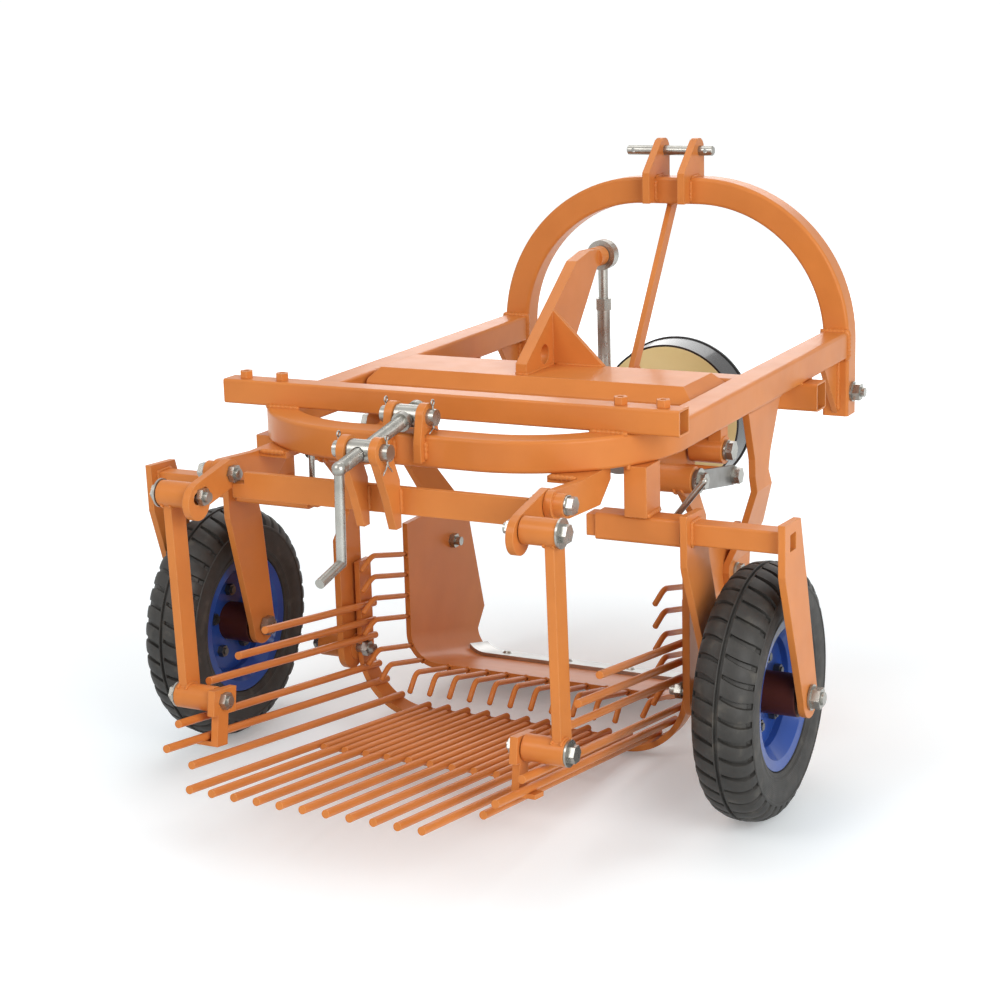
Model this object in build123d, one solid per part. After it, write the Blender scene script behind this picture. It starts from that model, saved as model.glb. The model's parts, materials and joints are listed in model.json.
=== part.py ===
"""Tractor-mounted potato digger with a shaken rod sieve, built in millimetres.

X is across the machine, +Y points forward to the tractor and +Z is up.
While it is drawn, Y is counted from the rear face of the rear crossbar.
On export everything moves along Y so that the origin is under the middle of the machine, on the ground.
"""
import os
from math import atan, cos, degrees, hypot, radians, sin, sqrt, tan

from build123d import *

os.makedirs("parts", exist_ok=True)

# Driving dimensions: main frame
rail = 50.0
rail_corner = 6.0
rail_wall = 3.0
frame_width = 712.0
rail_top = 611.0
u_bend_radius = 220.0
u_rear_y = -85.0
hoop_rear_y = 950.0
hoop_foot_z = 450.0
hoop_bend_radius = 275.0
hoop_top_z = 890.0
crossbar = 40.0
crossbar_half = 397.0
mid_bar_y = 717.0
mid_bar_half = 380.0
plate = 12.0

# Driving dimensions: hitch and drive line
hitch_pin_radius = 11.0
hitch_pin_z = 494.0
hitch_pin_reach = 96.0
top_pin_radius = 9.5
top_pin_y = 1000.0
top_pin_z = 937.0
top_pin_left = 105.0
top_pin_right = 71.0
lug_gap_half = 28.5
lug_thick = 14.0
lug_eye = 24.0
brace_thick = 10.0
brace_wide = 30.0
brace_x = 17.0
brace_lean = -24.0
drive_z = 425.0
crank_throw = 16.0
guard_radius = 150.0
guard_rear_radius = 145.0
guard_depth = 63.0
guard_wall = 4.0
stub_past_guard = 20.0
spline_radius = 17.4
spline_root = 14.8
spline_width = 8.6

# Driving dimensions: rocker and hangers
rocker_y = 365.0
rocker_z = 510.0
rocker_shaft_radius = 12.5
lever_x = -crank_throw
lever_thick = 20.0
boss_y = 645.0
ball_radius = 14.0
boss_z = 779.0
rod_ring_radius = 27.0
rod_shank_radius = 8.7
rod_tube_radius = 11.8
locknut_z = 679.0
locknut_high = 21.0
lifting_hole = 16.5
hanger_top_y = 190.0
hanger_top_z = 500.0
hanger_low_y = 250.0
hanger_low_z = 128.0
steady_y = 345.0
steady_z = 474.0

# Driving dimensions: sieve
share_gap = 29.0
sieve_bottom_z = 14.5
sieve_bend = 110.0
sieve_bar_top = 285.0
sieve_bar_y = 265.0
sieve_bar_wide = 40.0
sieve_bar_thick = 10.0
sieve_rise = 8.6
sieve_rod_radius = 6.25
sieve_rod_front = 280.0
bottom_rod_pitch = 38.5
bottom_rod_pairs = 5
bottom_rod_end = -448.0
short_rod_front = 235.0
short_rod_end = -105.0
clamp_rod_angle = 37.5
link_low_y = -263.0
link_low_z = 205.0
link_top_y = -275.0
link_top_z = 530.0
link_shift = 8.0
link_bush_radius = 20.0

# Driving dimensions: share
share_half = 278.0
share_thick = 10.0
share_corner = 60.0
share_rear_y = 361.0
share_front_y = 618.0
share_rear_z = 65.0
share_fall = 0.238
share_top_z = 330.0
share_bolt_y = 528.0
share_bolt_z = 257.0
finger_radius = 4.8
finger_pitch = 38.7
finger_bend_y = 241.0
finger_tip_y = 214.0

# Driving dimensions: depth adjuster
arm_pivot_y = -191.0
arm_pivot_z = 547.0
screw_rear_y = -236.0
screw_rear_z = 612.0
screw_front_y = -94.0
screw_front_z = 636.0
screw_radius = 10.0

# Driving dimensions: wheels
wheel_x = 487.0
wheel_y = 104.5
tyre_radius = 200.0
tyre_width = 97.0
rim_radius = 111.0
wheel_tube = 34.0
socket_size = 42.0
socket_x0 = 255.0
socket_x1 = 392.0
wheel_tube_y = 32.0
wheel_tube_z = 462.0
post_x0 = 306.0
post_x1 = 342.0
post_half = 27.0
fork_inner_x = 398.0
fork_outer_x = 550.0
fork_thick = 11.0
fork_top_z = 494.0
fork_fold_z = 405.0
fork_inner_spread = 14.0
fork_outer_spread = 5.0
fork_eye = 32.0

# Clearances
running = 0.05
slide_gap = 0.3
side_gap = 1.0
open_gap = 1.5
weld_gap = 0.2

# Values worked out from the driving dimensions
rail_bottom = rail_top - rail
rail_x = frame_width / 2 - rail / 2
hoop_y = hoop_rear_y + rail / 2
axle_z = tyre_radius
guard_y = hoop_rear_y - 13.0
guard_front_y = guard_y + guard_depth
rise = radians(sieve_rise)
sieve_half = share_half + share_gap
hanger_x = sieve_half + 17.0
link_x0 = sieve_half - 31.0
link_x1 = sieve_half + 24.0
arm_x0 = sieve_half - 45.0
arm_x1 = arm_x0 + plate
stub_front_y = guard_front_y + stub_past_guard
fork_foot_inner = fork_inner_x + fork_inner_spread
fork_foot_outer = fork_outer_x + fork_outer_spread


def box(x0, x1, y0, y1, z0, z1):
    middle = Pos((x0 + x1) / 2, (y0 + y1) / 2, (z0 + z1) / 2)
    return middle * Box(abs(x1 - x0), abs(y1 - y0), abs(z1 - z0))


def rod_x(y, z, radius, x0, x1):
    return Pos((x0 + x1) / 2, y, z) * Rot(0, 90, 0) * Cylinder(radius, abs(x1 - x0))


def rod_y(x, z, radius, y0, y1):
    return Pos(x, (y0 + y1) / 2, z) * Rot(90, 0, 0) * Cylinder(radius, abs(y1 - y0))


def rod_z(x, y, radius, z0, z1):
    return Pos(x, y, (z0 + z1) / 2) * Cylinder(radius, abs(z1 - z0))


def rod_between(start, end, radius):
    start = Vector(*start)
    end = Vector(*end)
    along = end - start
    return extrude(Plane(origin=start, z_dir=along) * Circle(radius), amount=along.length)


def hex_x(y, z, across, x0, x1):
    outline = RegularPolygon(across / sqrt(3), 6)
    return extrude(Plane.YZ.offset(min(x0, x1)) * Pos(y, z) * outline, amount=abs(x1 - x0))


def hex_y(x, z, across, y0, y1):
    outline = RegularPolygon(across / sqrt(3), 6)
    return extrude(Plane.XZ.offset(-max(y0, y1)) * Pos(x, z) * outline, amount=abs(y1 - y0))


def plate_x(outline, x0, x1):
    """A plate across the machine's side view: outline is a sketch in (Y, Z)."""
    return extrude(Plane.YZ.offset(min(x0, x1)) * outline, amount=abs(x1 - x0))


def plate_y(outline, y0, y1):
    """A plate across the machine's rear view: outline is a sketch in (X, Z)."""
    return extrude(Plane.XZ.offset(-max(y0, y1)) * outline, amount=abs(y1 - y0))


def outline(*points):
    return make_face(Polyline(*points, close=True))


def disc(y, z, radius):
    return Pos(y, z) * Circle(radius)


def strip(y0, z0, y1, z1, width):
    """A straight band between two points of a side view, without its round ends."""
    length = hypot(y1 - y0, z1 - z0)
    nx = (z1 - z0) / length * width / 2
    nz = (y1 - y0) / length * width / 2
    corners = [(y0 - nx, z0 + nz), (y1 - nx, z1 + nz), (y1 + nx, z1 - nz), (y0 + nx, z0 - nz)]
    return outline(*corners)


def both(shape):
    return [shape, mirror(shape, about=Plane.YZ)]


def tube_section(size, wall, corner):
    inner = size - 2 * wall
    return RectangleRounded(size, size, corner) - RectangleRounded(inner, inner, max(corner - wall, 1.0))


def tube_x(y, z, size, wall, x0, x1, corner=4.0):
    section = Plane.YZ.offset(min(x0, x1)) * Pos(y, z) * tube_section(size, wall, corner)
    return extrude(section, amount=abs(x1 - x0))


def bolt_x(y, z, radius, head_x, tip_x, nut_x=None, across=None, washer=None):
    """Hex bolt along X: head outside head_x, shank to tip_x, and a nut that bears at nut_x."""
    across = across or radius * 3.0
    out = 1.0 if head_x > tip_x else -1.0
    thick = radius * 1.25
    washer_thick = 3.0 if washer else 0.0
    bolt = rod_x(y, z, radius, tip_x, head_x + out * washer_thick)
    bolt += hex_x(y, z, across, head_x + out * washer_thick, head_x + out * (washer_thick + thick))
    if washer:
        bolt += rod_x(y, z, washer, head_x, head_x + out * washer_thick)
    if nut_x is not None:
        bolt += hex_x(y, z, across, nut_x - out * thick, nut_x)
    return bolt


def along_rods(shape):
    """Tilt a shape drawn level about the front of the sieve rods, so that it rises to the rear."""
    pivot = Pos(0, sieve_rod_front, 0)
    return pivot * Rot(-sieve_rise, 0, 0) * Pos(0, -sieve_rod_front, 0) * shape


def level_point(y, z):
    """The point that along_rods moves to the given side-view point."""
    dy = y - sieve_rod_front
    return sieve_rod_front + dy * cos(rise) - z * sin(rise), dy * sin(rise) + z * cos(rise)


def frame_parts():
    half_path = Polyline((-rail_x, hoop_rear_y), (-rail_x, u_rear_y), (rail_x, u_rear_y), (rail_x, hoop_rear_y))
    path = Pos(0, 0, rail_top - rail / 2) * fillet(half_path.vertices().sort_by(Axis.Y)[:2], u_bend_radius)
    start = Plane(origin=(-rail_x, hoop_rear_y, rail_top - rail / 2), z_dir=(0, -1, 0))
    main_frame = sweep(start * tube_section(rail, rail_wall, rail_corner), path=path)

    hoop_line = Polyline(
        (-rail_x, hoop_foot_z),
        (-rail_x, hoop_top_z - rail / 2),
        (rail_x, hoop_top_z - rail / 2),
        (rail_x, hoop_foot_z),
    )
    hoop_path = fillet(hoop_line.vertices().sort_by(Axis.Y)[2:], hoop_bend_radius)
    hoop_path = Plane.XZ.offset(-hoop_y) * hoop_path
    foot = Plane(origin=(-rail_x, hoop_y, hoop_foot_z), z_dir=(0, 0, 1))
    hoop = sweep(foot * tube_section(rail, rail_wall, rail_corner), path=hoop_path)

    bar = tube_x(crossbar / 2, rail_top + crossbar / 2, crossbar, 3.0, -crossbar_half, crossbar_half)
    nuts = []
    nut_out = crossbar_half - 33.0
    nut_in = nut_out - 68.0
    for x in (-nut_out, -nut_in, nut_in, nut_out):
        bar -= rod_z(x, crossbar / 2, 5.6, rail_top + crossbar - 6, rail_top + crossbar + 2)
        nut = Pos(x, crossbar / 2, rail_top + crossbar) * extrude(RegularPolygon(11.0, 6), amount=12.0)
        nuts.append(nut - rod_z(x, crossbar / 2, 5.1, rail_top + crossbar - 2, rail_top + crossbar + 14))

    mid_z = rail_bottom - rail / 2
    mid_bar = tube_x(mid_bar_y, mid_z, rail, rail_wall, -mid_bar_half, mid_bar_half, rail_corner)

    gusset = plate_x(
        outline((hoop_rear_y, hoop_foot_z + 6), (hoop_rear_y, rail_bottom), (hoop_rear_y - 85, rail_bottom)),
        rail_x - 5,
        rail_x + 5,
    )

    lug_rear = hoop_rear_y - 31
    hoop_front = hoop_rear_y + rail
    hoop_under = hoop_top_z - rail
    lug = outline(
        (lug_rear, hoop_under + 3),
        (hoop_rear_y, hoop_under + 3),
        (hoop_rear_y, hoop_top_z),
        (hoop_front, hoop_top_z),
        (hoop_front, hoop_top_z - 30),
        (top_pin_y + lug_eye, hoop_top_z - 10),
        (top_pin_y + lug_eye, top_pin_z),
        (top_pin_y - 15, top_pin_z + 21),
        (lug_rear, hoop_top_z + 11),
    )
    lug += disc(top_pin_y, top_pin_z, lug_eye)
    lug -= disc(top_pin_y, top_pin_z, top_pin_radius + running)
    lugs = both(plate_x(lug, lug_gap_half, lug_gap_half + lug_thick))

    brace_low = mid_bar_y + rail / 2 - brace_wide / 2 - 1
    brace_high = hoop_front - brace_wide / 2
    brace_foot = Plane.XY.offset(rail_bottom) * Pos(brace_x, brace_low) * Rectangle(brace_thick, brace_wide)
    brace_way = Vector(brace_lean, brace_high - brace_low, hoop_under - rail_bottom)
    brace = extrude(brace_foot, amount=brace_way.length, dir=brace_way)
    return {
        "main_frame": main_frame,
        "headstock_hoop": hoop,
        "rear_crossbar": bar,
        "crossbar_nuts": nuts,
        "mid_crossbar": mid_bar,
        "hoop_gussets": both(gusset),
        "top_link_lugs": lugs,
        "mast_brace": brace,
    }


def hitch_parts():
    inside = rail_x - rail / 2
    outside = rail_x + rail / 2
    pin = rod_x(hoop_y, hitch_pin_z, hitch_pin_radius, inside - hitch_pin_reach, inside)
    pin = chamfer(pin.edges().group_by(Axis.X)[0], 2.0)
    pin += rod_x(hoop_y, hitch_pin_z, 20.0, inside - 8, inside)
    pin += rod_x(hoop_y, hitch_pin_z, 9.0, inside - 4, outside + 26)
    pin -= rod_z(inside - hitch_pin_reach + 18, hoop_y, 5.2, hitch_pin_z - 20, hitch_pin_z + 20)
    nut = rod_x(hoop_y, hitch_pin_z, 19.0, outside, outside + 4)
    nut += hex_x(hoop_y, hitch_pin_z, 30.0, outside + 4, outside + 18)
    nut -= rod_x(hoop_y, hitch_pin_z, 9.0 + running, outside - 2, outside + 20)
    bore = rod_x(hoop_y, hitch_pin_z, 9.0 + running, inside - 1, outside + 1)

    top_pin = rod_x(top_pin_y, top_pin_z, top_pin_radius, -top_pin_left, top_pin_right)
    top_pin = chamfer(top_pin.edges().filter_by(GeomType.CIRCLE), 2.0)
    for x in (-top_pin_left + 14, top_pin_right - 14):
        top_pin -= rod_y(x, top_pin_z, 4.0, top_pin_y - 20, top_pin_y + 20)
    return {"hitch_pins": both(pin) + both(nut), "top_link_pin": top_pin}, both(bore)


def share_parts():
    wall_top = share_top_z + 70.0

    def u_outline(grow):
        half = share_half + grow
        low = -grow
        corner = share_corner + grow
        line = Polyline((-half, wall_top), (-half, low), (half, low), (half, wall_top))
        return fillet(line.vertices().sort_by(Axis.Y)[:2], corner)

    def u_band(outer, inner):
        ring = u_outline(outer).edges() + u_outline(inner).edges()
        ring += [Line((-share_half - outer, wall_top), (-share_half - inner, wall_top))]
        ring += [Line((share_half + outer, wall_top), (share_half + inner, wall_top))]
        return make_face(ring)

    def slope_z(y):
        return share_rear_z - share_fall * (y - share_rear_y)

    def trough(outer, inner, y0, y1):
        base = Plane.XZ.offset(-y0) * Pos(0, slope_z(y0)) * u_band(outer, inner)
        length = hypot(y1 - y0, share_fall * (y1 - y0))
        return extrude(base, amount=length, dir=(0, 1, -share_fall))

    side = outline(
        (share_rear_y, -60),
        (share_rear_y, share_top_z),
        (share_front_y - 32, share_top_z),
        (share_front_y, 215),
        (share_front_y + 34, 95),
        (share_front_y + 4, 58),
        (share_front_y, -60),
    )
    body = trough(0, -share_thick, share_rear_y - 20, share_front_y + 42)
    body = body & plate_x(side, -share_half - 20, share_half + 20)
    for x in (-1, 1):
        body -= rod_x(share_bolt_y, share_bolt_z, 8.2, x * (share_half + 2), x * (share_half - share_thick - 2))

    blade_y0 = share_front_y - 66.0
    blade_y1 = share_front_y + 8.0
    blade_half = share_half - 28.0
    blade = trough(-share_thick, -share_thick - 7, blade_y0, blade_y1)
    blade = blade & box(-blade_half, blade_half, blade_y0 - 5, blade_y1 + 5, -60, 120)
    tilt = degrees(atan(share_fall))
    bolts = []
    for x in (-190, -63, 63, 190):
        y = share_front_y - 30.0
        seat = Pos(x, y, slope_z(y) + share_thick + 7) * Rot(-tilt, 0, 0)
        head = seat * Pos(0, 0, 2.0) * Cone(9.0, 5.5, 4.0)
        shank = seat * Pos(0, 0, -13.5) * Cylinder(5.0, 27.0)
        nut = seat * Pos(0, 0, -23.0) * extrude(RegularPolygon(9.0, 6), amount=6.0)
        hole = seat * Pos(0, 0, -8.0) * Cylinder(5.2, 40.0)
        blade -= hole
        body -= hole
        bolts.append(head + shank + nut)

    middle = share_half - share_thick / 2
    bottom_z = share_rear_z + share_thick / 2
    roots = []
    for i in range(-5, 6):
        roots.append((i * finger_pitch, bottom_z, 0.0, -1.1))
    arc_centre_x = share_half - share_corner
    arc_radius = share_corner - share_thick / 2
    for sign in (-1, 1):
        for angle in (28.0, 62.0):
            a = radians(angle)
            x = sign * (arc_centre_x + arc_radius * cos(a))
            z = share_rear_z + share_corner - arc_radius * sin(a)
            roots.append((x, z, sign * 0.25 * cos(a), -0.8))
        for z in (156.0, 194.0, 232.0, 270.0):
            roots.append((sign * middle, z, sign * 0.25, -0.8))
    fingers = []
    for x, z, lean, drop in roots:
        run = share_rear_y - finger_bend_y
        first = Plane.XZ.offset(-share_rear_y) * Pos(x, z) * Circle(finger_radius)
        straight = extrude(first, amount=hypot(run, share_fall * run), dir=(0, -1, share_fall))
        bend_z = z + share_fall * run
        tip = finger_bend_y - finger_tip_y
        second = Plane.XZ.offset(-finger_bend_y) * Pos(x, bend_z) * Circle(finger_radius)
        hook = extrude(second, amount=tip * hypot(1, lean, drop), dir=(lean, -1, drop))
        fingers.append(straight + hook)

    foot_x = share_half
    upper_x = rail_x + 2
    fold_z = rail_bottom - 149.0
    low_z = share_bolt_z + 17.0
    foot_z = share_bolt_z - 35.0
    leg_y = share_bolt_y
    bend = outline(
        (foot_x, foot_z),
        (foot_x + plate, foot_z),
        (foot_x + plate, low_z),
        (upper_x + plate, fold_z),
        (upper_x + plate, rail_bottom),
        (upper_x, rail_bottom),
        (upper_x, fold_z),
        (foot_x, low_z),
    )
    view = outline(
        (leg_y - 90, rail_bottom),
        (leg_y + 72, rail_bottom),
        (leg_y + 20, rail_bottom - 91),
        (leg_y + 12, rail_bottom - 121),
        (leg_y + 78, share_top_z),
        (leg_y + 68, foot_z + 18),
        (leg_y + 32, foot_z),
        (leg_y - 22, foot_z),
        (leg_y - 34, foot_z + 38),
        (leg_y - 16, share_top_z),
        (leg_y - 54, rail_bottom - 121),
        (leg_y - 56, rail_bottom - 91),
    )
    leg = plate_y(bend, leg_y - 108, leg_y + 92) & plate_x(view, foot_x - 1, upper_x + plate + 1)
    leg -= rod_x(share_bolt_y, share_bolt_z, 8.2, foot_x - 2, foot_x + plate + 2)
    bolt = bolt_x(
        share_bolt_y,
        share_bolt_z,
        8.0,
        foot_x + plate,
        share_half - share_thick - 20,
        share_half - share_thick,
        24.0,
        15.0,
    )
    return {
        "share_body": body,
        "share_blade": blade,
        "share_fingers": fingers,
        "share_legs": both(leg),
        "share_bolts": both(bolt) + bolts,
    }


def rocker_parts():
    arm_in = hanger_x - 66.0
    arm_out = arm_in + plate
    bearing_x0 = arm_out + 5.0
    bearing_x1 = rail_x + 1.0
    bush = rod_x(rocker_y, rocker_z, 23.0, bearing_x0, bearing_x1)
    bush += box(bearing_x1 - 24, bearing_x1 - 2, rocker_y - 16, rocker_y + 16, rocker_z, rail_bottom)
    bush -= rod_x(rocker_y, rocker_z, rocker_shaft_radius + running, bearing_x0 - 1, bearing_x1 + 1)
    bearings = both(bush)

    end_x = rail_x - rail / 2 - 8.0
    section = [(290, 560), (290, 598), (312, 622), (438, 622), (456, 602), (456, 560)]
    inner = [(296, 566), (296, 596), (315, 616), (435, 616), (450, 600), (450, 566)]
    beam = plate_x(outline(*section), -end_x, end_x)
    beam = chamfer(beam.edges().filter_by(Axis.Y).group_by(Axis.Z)[-1], 18.0)
    beam -= plate_x(outline(*inner), -end_x + 24, end_x - 24)

    lever_x0 = lever_x - lever_thick / 2
    lever_x1 = lever_x + lever_thick / 2
    view = outline(
        (323, 622),
        (323, 640),
        (534, boss_z + 6),
        (588, boss_z + 17),
        (boss_y, boss_z + 15),
        (boss_y, boss_z - 15),
        (622, boss_z - 15),
        (582, 718),
        (519, 647),
        (503, 622),
    )
    view -= disc(396, 645, lifting_hole)
    lever = plate_x(view, lever_x0, lever_x1)
    lever += rod_y(lever_x, boss_z, 17.5, boss_y - 16, boss_y + 12)
    lever -= rod_y(lever_x, boss_z, 8.0 + running, boss_y - 60, boss_y + 14)
    gusset = plate_y(outline((lever_x1, 622), (88, 622), (lever_x1, 716)), 430, 440)

    stud_y0 = boss_y - 30
    stud = rod_y(lever_x, boss_z, 8.0, stud_y0, boss_y + 58)
    stud += hex_y(lever_x, boss_z, 24.0, boss_y + 37, boss_y + 49)
    ball = Pos(lever_x, boss_y + 24, boss_z) * Sphere(ball_radius)
    stud += ball & box(lever_x - 20, lever_x + 20, boss_y + 12, boss_y + 36, boss_z - 20, boss_z + 20)

    arm = outline(
        (310, 560),
        (440, 560),
        (404, rocker_z - 6),
        (372, steady_z - 20),
        (322, steady_z - 20),
        (hanger_top_y + 8, hanger_top_z - 26),
        (hanger_top_y, hanger_top_z + 26),
        (280, 530),
    )
    arm += disc(hanger_top_y, hanger_top_z, 26)
    for y, z, radius in (
        (rocker_y, rocker_z, rocker_shaft_radius),
        (hanger_top_y, hanger_top_z, 8.0),
        (steady_y, steady_z, 8.0),
    ):
        arm -= disc(y, z, radius + running)
    arm = plate_x(arm, arm_in, arm_out)

    shaft = rod_x(rocker_y, rocker_z, rocker_shaft_radius, arm_in - 6, bearing_x1 + 14)
    shaft += rod_x(rocker_y, rocker_z, 17.0, arm_in - 14, arm_in)
    shaft += rod_x(rocker_y, rocker_z, 17.0, bearing_x1 + side_gap, bearing_x1 + side_gap + 4)
    shaft += hex_x(rocker_y, rocker_z, 28.0, bearing_x1 + side_gap + 4, bearing_x1 + side_gap + 15)

    bush_half = 28.5
    bush_radius = 22.0
    top0 = hanger_x - 5.5 - bush_half
    top1 = hanger_x - 5.5 + bush_half
    cheek = top1 + 0.5
    cheek_thick = 6.0
    low0 = sieve_half + sieve_bar_thick / 2 + 2
    low1 = low0 + 70.0
    bar_y0 = 207.0
    bar_y1 = 280.0
    kink_z = 352.0
    bar_view = outline(
        (hanger_top_y - 14, hanger_top_z - 12),
        (hanger_top_y + 16, hanger_top_z - 12),
        (hanger_top_y + 50, hanger_top_z - 18),
        (bar_y1 + 2, kink_z + 68),
        (bar_y1, kink_z),
        (bar_y1, hanger_low_z),
        (bar_y0, hanger_low_z),
        (bar_y0, kink_z - 20),
        (bar_y0 + 41, kink_z + 22),
        (bar_y0 + 30, kink_z + 76),
    )
    bar_view += disc((bar_y0 + bar_y1) / 2, hanger_low_z, (bar_y1 - bar_y0) / 2)
    hanger = plate_x(bar_view, hanger_x - 6, hanger_x + 6)
    hanger += rod_x(hanger_top_y, hanger_top_z, bush_radius, top0, top1)
    hanger += rod_x(hanger_low_y, hanger_low_z, bush_radius, low0, low1)
    hanger -= rod_x(hanger_top_y, hanger_top_z, 8.0 + running, top0 - 1, top1 + 1)
    hanger -= rod_x(hanger_low_y, hanger_low_z, 9.0 + running, low0 - 1, low1 + 1)
    hangers = both(hanger)

    length = hypot(steady_y - hanger_top_y, steady_z - hanger_top_z)
    slope = degrees(atan((steady_z - hanger_top_z) / (steady_y - hanger_top_y)))
    middle = Pos((steady_y + hanger_top_y) / 2, (steady_z + hanger_top_z) / 2) * Rot(0, 0, slope)
    cheek_view = middle * SlotCenterToCenter(length, 32)
    for y, z in ((hanger_top_y, hanger_top_z), (steady_y, steady_z)):
        cheek_view -= disc(y, z, 8.0 + running)
    cheeks = both(plate_x(cheek_view, cheek, cheek + cheek_thick))
    bolts = []
    for y, z, washer in ((hanger_top_y, hanger_top_z, 20.0), (steady_y, steady_z, 15.0)):
        bolt = bolt_x(y, z, 8.0, cheek + cheek_thick, arm_in - 14, arm_in, 24.0, washer)
        bolts += both(bolt)
    for y, z, far in ((hanger_top_y, hanger_top_z, top0), (steady_y, steady_z, cheek)):
        arm += rod_x(y, z, 12.0, arm_out, far) - rod_x(y, z, 8.0 + running, arm_out - 1, far + 1)

    front_tip = sieve_half - sieve_bar_thick / 2 - 22
    front = bolt_x(
        hanger_low_y, hanger_low_z, 9.0, low1 + side_gap, front_tip, sieve_half - sieve_bar_thick / 2 - 1.0, 24.0, 21.0
    )
    return {
        "rocker_bearings": bearings,
        "rocker_beam": beam,
        "rocker_lever": [lever, gusset],
        "rocker_arms": both(arm),
        "rocker_shafts": both(shaft),
        "hangers": hangers,
        "hanger_cheeks": cheeks,
        "rocker_bolts": bolts + [stud],
        "sieve_front_bolts": both(front),
    }


def drive_parts():
    ring_y0 = boss_y + 14
    ring_y1 = boss_y + 34
    ring_y = (ring_y0 + ring_y1) / 2
    rod = rod_y(lever_x, boss_z, rod_ring_radius, ring_y0, ring_y1)
    rod += rod_z(lever_x, ring_y, rod_shank_radius, locknut_z - 10, boss_z - 20)
    rod += rod_z(lever_x, ring_y, rod_tube_radius, drive_z + 15, locknut_z)
    rod += rod_y(lever_x, drive_z, 22.0, ring_y0, ring_y1)
    rod -= Pos(lever_x, ring_y, boss_z) * Sphere(ball_radius + running)
    rod -= rod_y(lever_x, drive_z, 8.0 + running, ring_y0 - 1, ring_y1 + 1)
    locknut = extrude(Pos(lever_x, ring_y, locknut_z) * RegularPolygon(15.0, 6), amount=locknut_high)
    nut_top = locknut_z + locknut_high
    locknut -= rod_z(lever_x, ring_y, rod_shank_radius + running, locknut_z - 2, nut_top + 2)

    disc_y0 = 684.0
    disc_y1 = 704.0
    pin = rod_y(lever_x, drive_z, 8.0, ring_y0 - 2, disc_y0 + 9)
    pin += rod_y(lever_x, drive_z, 14.0, ring_y0 - 6, ring_y0 - 2)
    crank = rod_y(0, drive_z, 55.0, disc_y0, disc_y1)
    crank -= rod_y(0, drive_z, 36.0, disc_y0 - 1, disc_y0 + 12)
    shaft_radius = 20.0
    crank -= rod_y(0, drive_z, 14.0, disc_y0, disc_y1 + 1)

    housing_y0 = 712.0
    bearing = 40.0
    housing = rod_y(0, drive_z, bearing + 6, housing_y0, guard_y)
    housing -= rod_y(0, drive_z, bearing, housing_y0 - 1, guard_y + 1)
    rings = []
    for y in (housing_y0 + 6, guard_y - 30):
        ring = rod_y(0, drive_z, bearing, y, y + 22)
        rings.append(ring - rod_y(0, drive_z, shaft_radius + running, y - 1, y + 23))
    hangers = []
    mid_under = rail_bottom - rail
    for y in (housing_y0, mid_bar_y + rail / 2 - 14):
        view = outline((-78, mid_under), (78, mid_under), (52, drive_z - 30), (-52, drive_z - 30))
        view -= Pos(0, drive_z) * Circle(bearing + 6)
        hangers.append(plate_y(view, y, y + 10))

    shaft = rod_y(0, drive_z, shaft_radius, disc_y1, guard_y + 10)
    shaft += rod_y(0, drive_z, 14.0, disc_y0 + 14, disc_y1)
    stub = rod_y(0, drive_z, spline_radius, guard_y + 10, stub_front_y)
    for i in range(6):
        tooth = box(-spline_width / 2, spline_width / 2, guard_y + 30, stub_front_y + 2, spline_root, spline_radius + 4)
        stub -= Pos(0, 0, drive_z) * Rot(0, i * 60.0, 0) * tooth
    groove = rod_y(0, drive_z, spline_radius + 2, stub_front_y - 45, stub_front_y - 38)
    groove -= rod_y(0, drive_z, spline_root, stub_front_y - 46, stub_front_y - 37)
    stub -= groove

    def cone_y(rear_radius, front_radius, y0, y1):
        return Pos(0, (y0 + y1) / 2, drive_z) * Rot(90, 0, 0) * Cone(front_radius, rear_radius, y1 - y0)

    face_radius = guard_rear_radius - guard_wall
    face = rod_y(0, drive_z, face_radius, guard_y, guard_y + guard_wall)
    face -= rod_y(0, drive_z, shaft_radius + 4, guard_y - 1, guard_y + guard_wall + 1)
    wall = cone_y(guard_rear_radius, guard_radius, guard_y, guard_front_y)
    wall += rod_y(0, drive_z, guard_radius + 2, guard_front_y - 5, guard_front_y)
    wall -= rod_y(0, drive_z, face_radius, guard_y - 1, guard_front_y + 1)
    wall -= cone_y(face_radius, guard_radius - guard_wall, guard_y + guard_wall, guard_front_y)
    return {
        "connecting_rod": [rod, locknut, pin],
        "crank_disc": crank,
        "drive_housing": [housing] + hangers,
        "drive_bearings": rings,
        "pto_shaft": shaft + stub,
        "guard_face": face,
        "pto_guard": wall,
    }


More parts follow.
